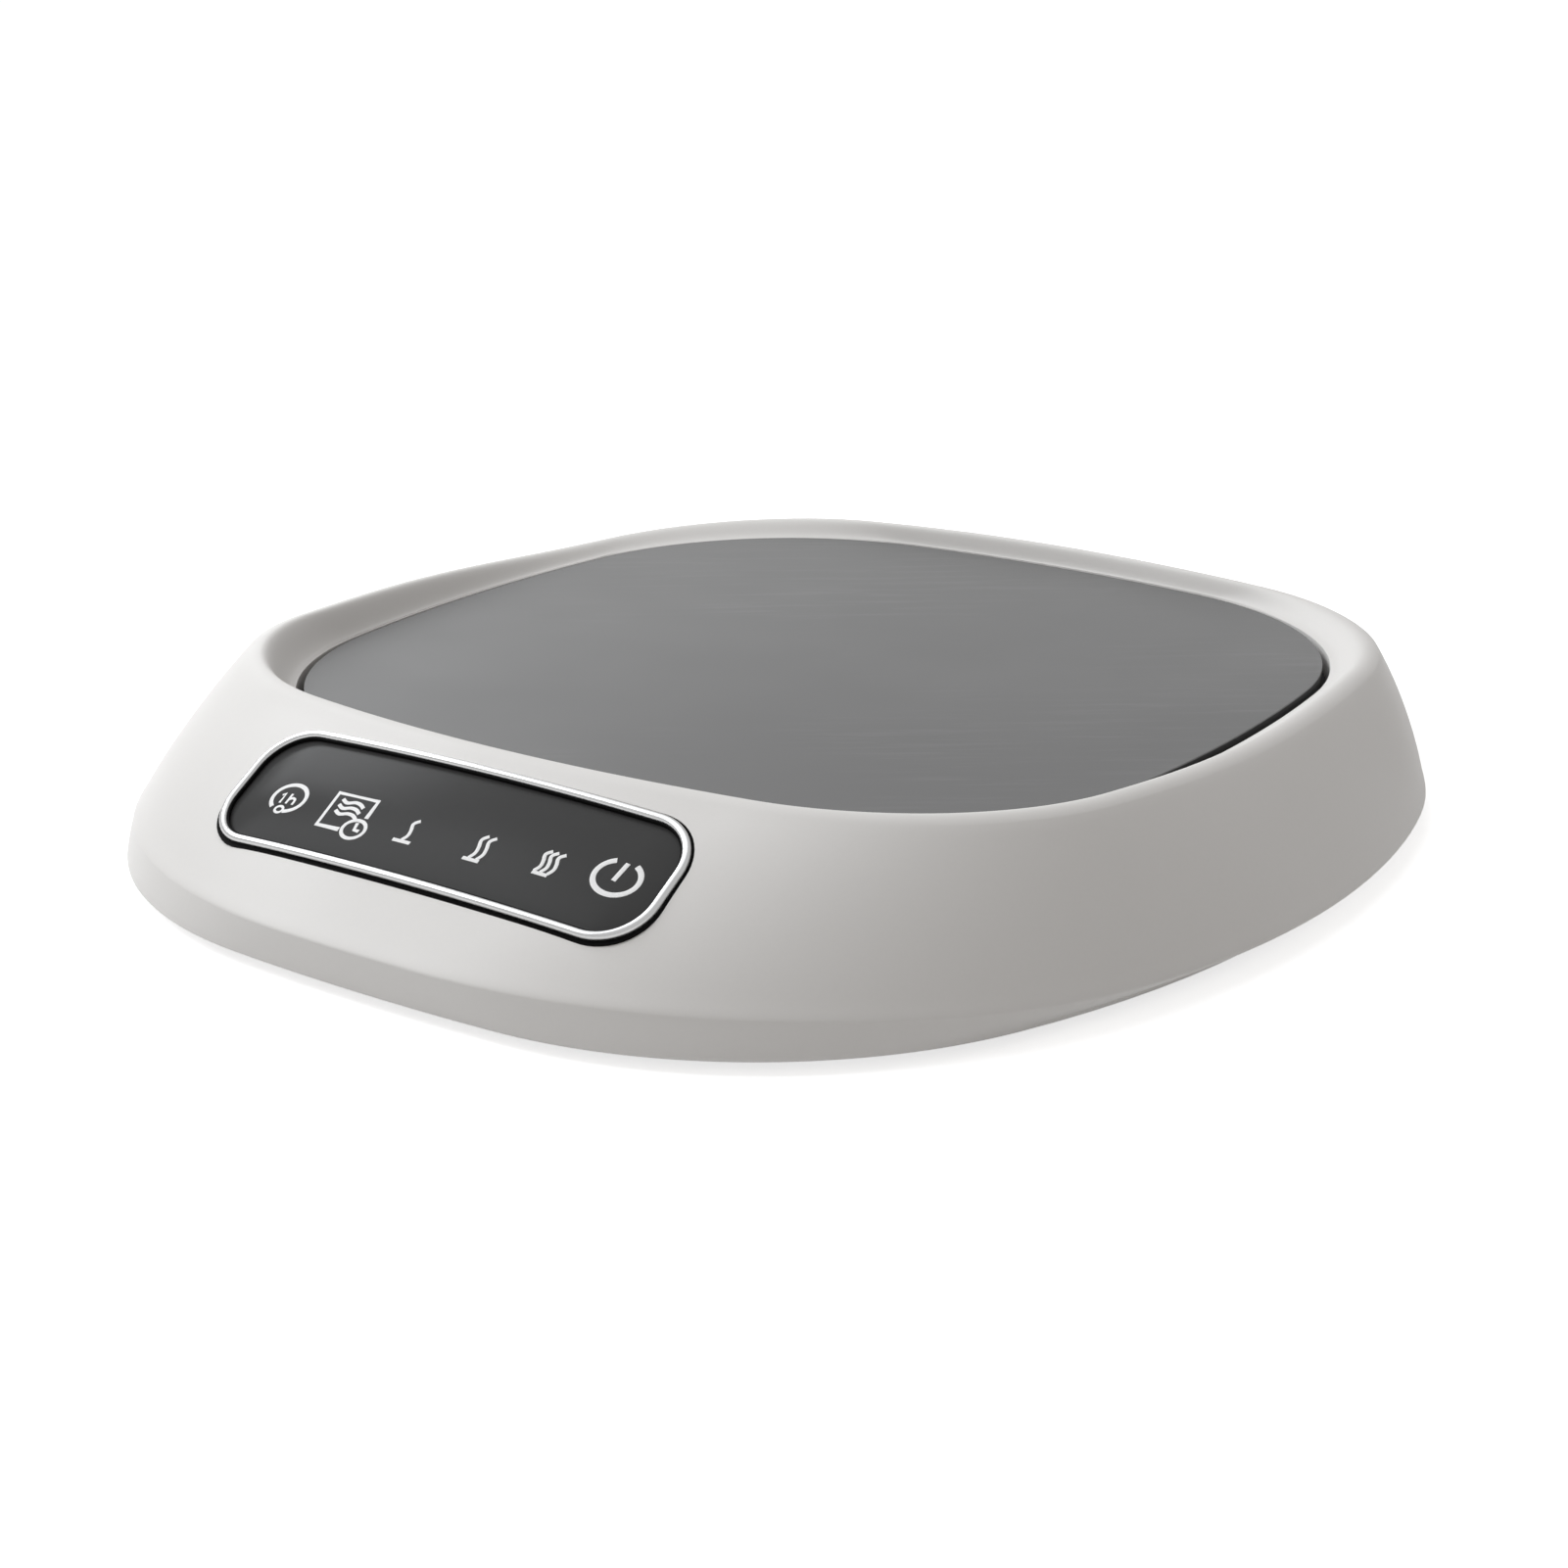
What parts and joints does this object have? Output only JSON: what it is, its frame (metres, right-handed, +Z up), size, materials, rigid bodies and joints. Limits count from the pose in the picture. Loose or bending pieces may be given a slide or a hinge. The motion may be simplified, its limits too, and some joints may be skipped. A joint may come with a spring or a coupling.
{
  "type": "electric mug warmer",
  "caption": "Low electric mug warmer: soft-cornered pale housing, recessed square heating plate that sinks under a mug to close a switch, and a touch panel on the sloping front.",
  "frame": {"origin": "on the table plane under the feet, below the middle of the housing's outline", "axes": "+Z up; +Y from the front with the touch panel to the back with the cord inlet; +X to the right for someone who faces the front"},
  "size_m": [0.1306, 0.1408, 0.0189],
  "materials": {
    "housing_plastic": "fine matte moulding",
    "base_plastic": "matte",
    "foot_rubber": "matte",
    "screw_steel": "satin",
    "inlet_rubber": "matte",
    "terminal_plastic": "matte",
    "clip_brass": "satin",
    "bezel_chrome": "polished",
    "window_gloss": "glossy with printed symbols",
    "foam_black": "matte foam",
    "guide_white": "white",
    "board_green": "lacquered",
    "lamp_white": "glossy",
    "ribbon_amber": "smooth",
    "part_black": "matte",
    "can_aluminium": "satin",
    "fuse_glass": "clear",
    "lead_red": "matte",
    "plunger_red": "matte",
    "spring_steel": "bright",
    "carrier_plastic": "matte",
    "pad_fibre": "felted",
    "track_metal": "etched",
    "spreader_aluminium": "rolled",
    "seal_silicone": "matte",
    "plate_metal": "satin coating"
  },
  "bodies": {
    "housing": {"top_shell": "housing_plastic", "base_cover": "base_plastic", "feet": "foot_rubber", "base_screws": "screw_steel", "cord_gland": "inlet_rubber", "cord_terminal": "terminal_plastic", "terminal_screws": "clip_brass", "panel_bezel": "bezel_chrome", "touch_panel": "window_gloss", "panel_gasket": "foam_black", "light_guide": "guide_white", "touch_board": "board_green", "indicator_lights": "lamp_white", "touch_screws": "screw_steel", "panel_ribbon": "ribbon_amber", "ribbon_socket": "terminal_plastic", "power_board": "board_green", "board_screws": "screw_steel", "power_switcher": "part_black", "filter_capacitor": "can_aluminium", "glass_fuse": "fuse_glass", "fuse_clips": "clip_brass", "lead_socket": "terminal_plastic", "supply_leads": "lead_red", "load_switch": "part_black", "plate_springs": "spring_steel"},
    "plate": {"heating_plate": "plate_metal", "heat_spreader": "spreader_aluminium", "heater_film": "track_metal", "insulation_pad": "pad_fibre", "plate_carrier": "carrier_plastic", "carrier_screws": "screw_steel", "thermistor": "part_black", "thermal_fuse": "terminal_plastic", "plate_seal": "seal_silicone"},
    "plunger": {"switch_plunger": "plunger_red"}
  },
  "joints": [
    {"name": "plate_slide", "type": "slide", "parent": "housing", "child": "plate", "axis": [0, 0, -1], "range_m": [0, 0.0008], "stiffness_N_per_m": 2000, "springref_m": -0.0015, "deforming": ["plate_springs"]},
    {"name": "plunger_slide", "type": "slide", "parent": "housing", "child": "plunger", "axis": [0, 0, -1], "range_m": [0, 0.0008]}
  ],
  "couplings": [
    {"joint": "plunger_slide", "follows": "plate_slide", "ratio": 1}
  ]
}
